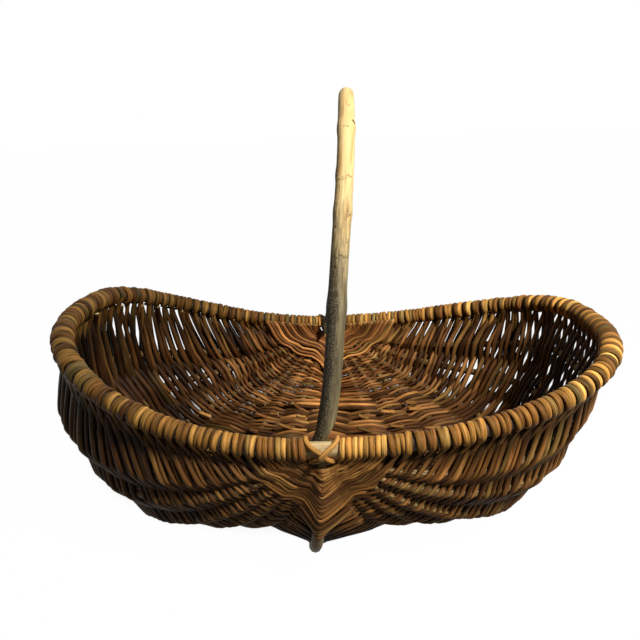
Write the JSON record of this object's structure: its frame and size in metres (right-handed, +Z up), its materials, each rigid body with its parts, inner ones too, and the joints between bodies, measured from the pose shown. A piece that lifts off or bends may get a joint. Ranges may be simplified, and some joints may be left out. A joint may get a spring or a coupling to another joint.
{
  "type": "buttocks basket",
  "caption": "Oval willow frame basket with raised ends, a fixed arched handle, a rim hoop, a keel and fanned ribs, and close weaving that bellies into two lobes below.",
  "frame": {"origin": "on the ground under the middle of the basket's length and width; the line between the ears is 9 mm to the left of it", "axes": "+X along the basket's long way towards the lower of its two raised ends, +Y towards the back ear, +Z up"},
  "size_m": [0.5862, 0.4326, 0.4293],
  "materials": {
    "rim_wood": "peeled rod, satin",
    "handle_wood": "weathered, cracked, bleached at the top",
    "keel_wood": "bark on, dull",
    "rib_wood": "bark on, dull",
    "tie_rod": "bark on, satin",
    "wrap_rod": "bark on, satin, golden",
    "ear_rod": "bark on, satin, dark",
    "weave_rod": "bark on, satin, brown"
  },
  "bodies": {
    "root": {"rim_hoop": "rim_wood", "handle_bow": "handle_wood", "keel": "keel_wood", "rib_left_1": "rib_wood", "rib_left_2": "rib_wood", "rib_left_3": "rib_wood", "rib_left_4": "rib_wood", "rib_left_5": "rib_wood", "rib_left_6": "rib_wood", "rib_right_1": "rib_wood", "rib_right_2": "rib_wood", "rib_right_3": "rib_wood", "rib_right_4": "rib_wood", "rib_right_5": "rib_wood", "rib_right_6": "rib_wood", "ear_tie_front_1": "tie_rod", "ear_tie_front_2": "tie_rod", "ear_tie_back_1": "tie_rod", "ear_tie_back_2": "tie_rod", "rim_wrap_front_left": "wrap_rod", "rim_wrap_front_right": "wrap_rod", "rim_wrap_back_left": "wrap_rod", "rim_wrap_back_right": "wrap_rod", "ear_weave_front": "ear_rod", "ear_weave_back": "ear_rod", "weave_front_left_1": "weave_rod", "weave_front_left_2": "weave_rod", "weave_front_left_3": "weave_rod", "weave_front_left_4": "weave_rod", "weave_front_left_5": "weave_rod", "weave_front_left_6": "weave_rod", "weave_front_left_7": "weave_rod", "weave_front_right_1": "weave_rod", "weave_front_right_2": "weave_rod", "weave_front_right_3": "weave_rod", "weave_front_right_4": "weave_rod", "weave_front_right_5": "weave_rod", "weave_front_right_6": "weave_rod", "weave_front_right_7": "weave_rod", "weave_back_left_1": "weave_rod", "weave_back_left_2": "weave_rod", "weave_back_left_3": "weave_rod", "weave_back_left_4": "weave_rod", "weave_back_left_5": "weave_rod", "weave_back_left_6": "weave_rod", "weave_back_left_7": "weave_rod", "weave_back_right_1": "weave_rod", "weave_back_right_2": "weave_rod", "weave_back_right_3": "weave_rod", "weave_back_right_4": "weave_rod", "weave_back_right_5": "weave_rod", "weave_back_right_6": "weave_rod", "weave_back_right_7": "weave_rod"}
  },
  "joints": []
}
